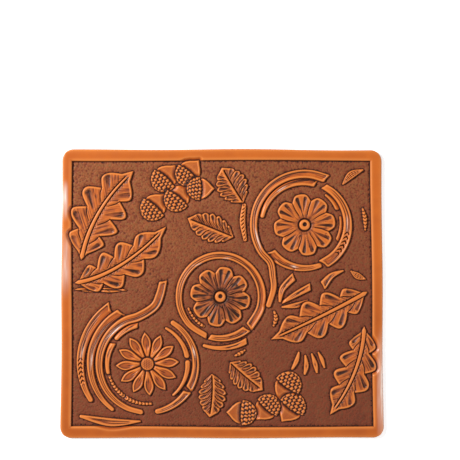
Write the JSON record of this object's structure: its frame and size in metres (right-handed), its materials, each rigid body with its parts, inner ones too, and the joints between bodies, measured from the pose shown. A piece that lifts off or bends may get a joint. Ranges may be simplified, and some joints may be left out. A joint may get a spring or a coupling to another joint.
{
  "type": "tooled leather wallet back",
  "caption": "Flat leather wallet back with raised carved flowers, leaves, acorns and stems on a matted ground inside a smooth border; folds across the middle.",
  "frame": {"origin": "centre of the flesh face, on the fold line", "axes": "+X across the panel, +Y up the panel across the fold, +Z out of the carved side"},
  "size_m": [0.1984, 0.177, 0.0026],
  "materials": {
    "matted_ground": "matte",
    "smooth_border": "satin",
    "carved_motif": "satin",
    "textured_motif": "satin"
  },
  "bodies": {
    "lower_half": {"field_lower": "matted_ground", "rim_bottom": "smooth_border", "rim_left_lower": "smooth_border", "rim_right_lower": "smooth_border", "daisy_petals": "carved_motif", "daisy_hub": "textured_motif", "daisy_arch": "carved_motif", "daisy_post": "carved_motif", "daisy_foot": "carved_motif", "centre_petals_lower": "carved_motif", "centre_boss_lower": "textured_motif", "centre_ring_lower": "carved_motif", "centre_pod": "textured_motif", "corner_trunk_lower": "carved_motif", "stems_lower": "carved_motif", "sprays_lower": "carved_motif", "sprigs": "carved_motif", "oak_right_lower": "carved_motif", "oak_bottom_right": "carved_motif", "frill_bottom_left": "carved_motif", "frill_bottom": "carved_motif", "acorn_nuts_lower": "carved_motif", "acorn_cups_lower": "textured_motif"},
    "upper_half": {"field_upper": "matted_ground", "rim_top": "smooth_border", "rim_left_upper": "smooth_border", "rim_right_upper": "smooth_border", "centre_petals_upper": "carved_motif", "centre_boss_upper": "textured_motif", "centre_ring_upper": "carved_motif", "corner_petals": "carved_motif", "corner_boss": "textured_motif", "corner_trunk_upper": "carved_motif", "corner_coil": "carved_motif", "corner_inner_coil": "carved_motif", "corner_pods": "textured_motif", "stem_head_upper": "carved_motif", "sprays_upper": "carved_motif", "rope_stem": "textured_motif", "oak_top_left": "carved_motif", "oak_left": "carved_motif", "oak_small": "carved_motif", "oak_right_upper": "carved_motif", "frill_top": "carved_motif", "frill_mid": "carved_motif", "acorn_nuts_upper": "carved_motif", "acorn_cups_upper": "textured_motif"}
  },
  "joints": [
    {"name": "fold", "type": "hinge", "parent": "lower_half", "child": "upper_half", "pos_m": [0, 0, 0], "axis": [-1, 0, 0], "range_deg": [0, 175]}
  ]
}
